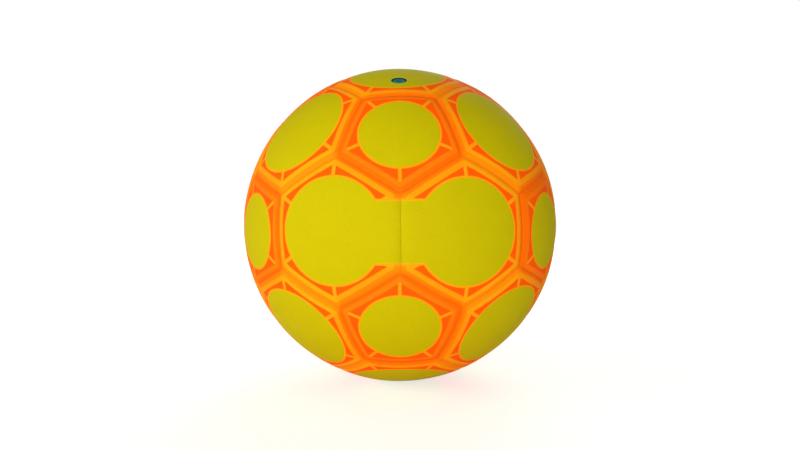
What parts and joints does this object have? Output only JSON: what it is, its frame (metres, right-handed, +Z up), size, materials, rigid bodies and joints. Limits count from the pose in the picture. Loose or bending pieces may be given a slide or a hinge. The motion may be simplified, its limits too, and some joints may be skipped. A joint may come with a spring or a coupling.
{
  "type": "handball",
  "caption": "Hand-sewn handball: laced pentagon and hexagon covers with rolled edges, foam pads and linings over a rubber bladder, with a push-in needle valve.",
  "frame": {"origin": "centre of the ball", "axes": "+Z up and -Y towards the viewer, as pictured: two hexagons share an upright seam at the front, and the valve is near the top, tilted from +Z towards -Y"},
  "size_m": [0.1878, 0.1878, 0.1878],
  "materials": {
    "hexagon_cover": "grained matt, printed",
    "pentagon_cover": "grained matt, printed",
    "foam": "matt closed-cell foam",
    "lining_cloth": "woven",
    "thread": "waxed",
    "bladder_rubber": "matt",
    "valve_rubber": "satin"
  },
  "bodies": {
    "root": {"hexagon_panel_01": "hexagon_cover", "hexagon_panel_02": "hexagon_cover", "hexagon_panel_03": "hexagon_cover", "hexagon_panel_04": "hexagon_cover", "hexagon_panel_05": "hexagon_cover", "hexagon_panel_06": "hexagon_cover", "hexagon_panel_07": "hexagon_cover", "hexagon_panel_08": "hexagon_cover", "hexagon_panel_09": "hexagon_cover", "hexagon_panel_10": "hexagon_cover", "hexagon_panel_11": "hexagon_cover", "hexagon_panel_12": "hexagon_cover", "hexagon_panel_13": "hexagon_cover", "hexagon_panel_14": "hexagon_cover", "hexagon_panel_15": "hexagon_cover", "hexagon_panel_16": "hexagon_cover", "hexagon_panel_17": "hexagon_cover", "hexagon_panel_18": "hexagon_cover", "hexagon_panel_19": "hexagon_cover", "valve_panel": "hexagon_cover", "pentagon_panel_01": "pentagon_cover", "pentagon_panel_02": "pentagon_cover", "pentagon_panel_03": "pentagon_cover", "pentagon_panel_04": "pentagon_cover", "pentagon_panel_05": "pentagon_cover", "pentagon_panel_06": "pentagon_cover", "pentagon_panel_07": "pentagon_cover", "pentagon_panel_08": "pentagon_cover", "pentagon_panel_09": "pentagon_cover", "pentagon_panel_10": "pentagon_cover", "pentagon_panel_11": "pentagon_cover", "pentagon_panel_12": "pentagon_cover", "pentagon_pads": "foam", "hexagon_pads": "foam", "valve_pad": "foam", "pentagon_linings": "lining_cloth", "hexagon_linings": "lining_cloth", "valve_lining": "lining_cloth", "pentagon_seam_threads": "thread", "hexagon_seam_threads": "thread", "bladder": "bladder_rubber", "valve_patch": "bladder_rubber", "valve_housing": "bladder_rubber", "valve_core": "valve_rubber"}
  },
  "joints": []
}
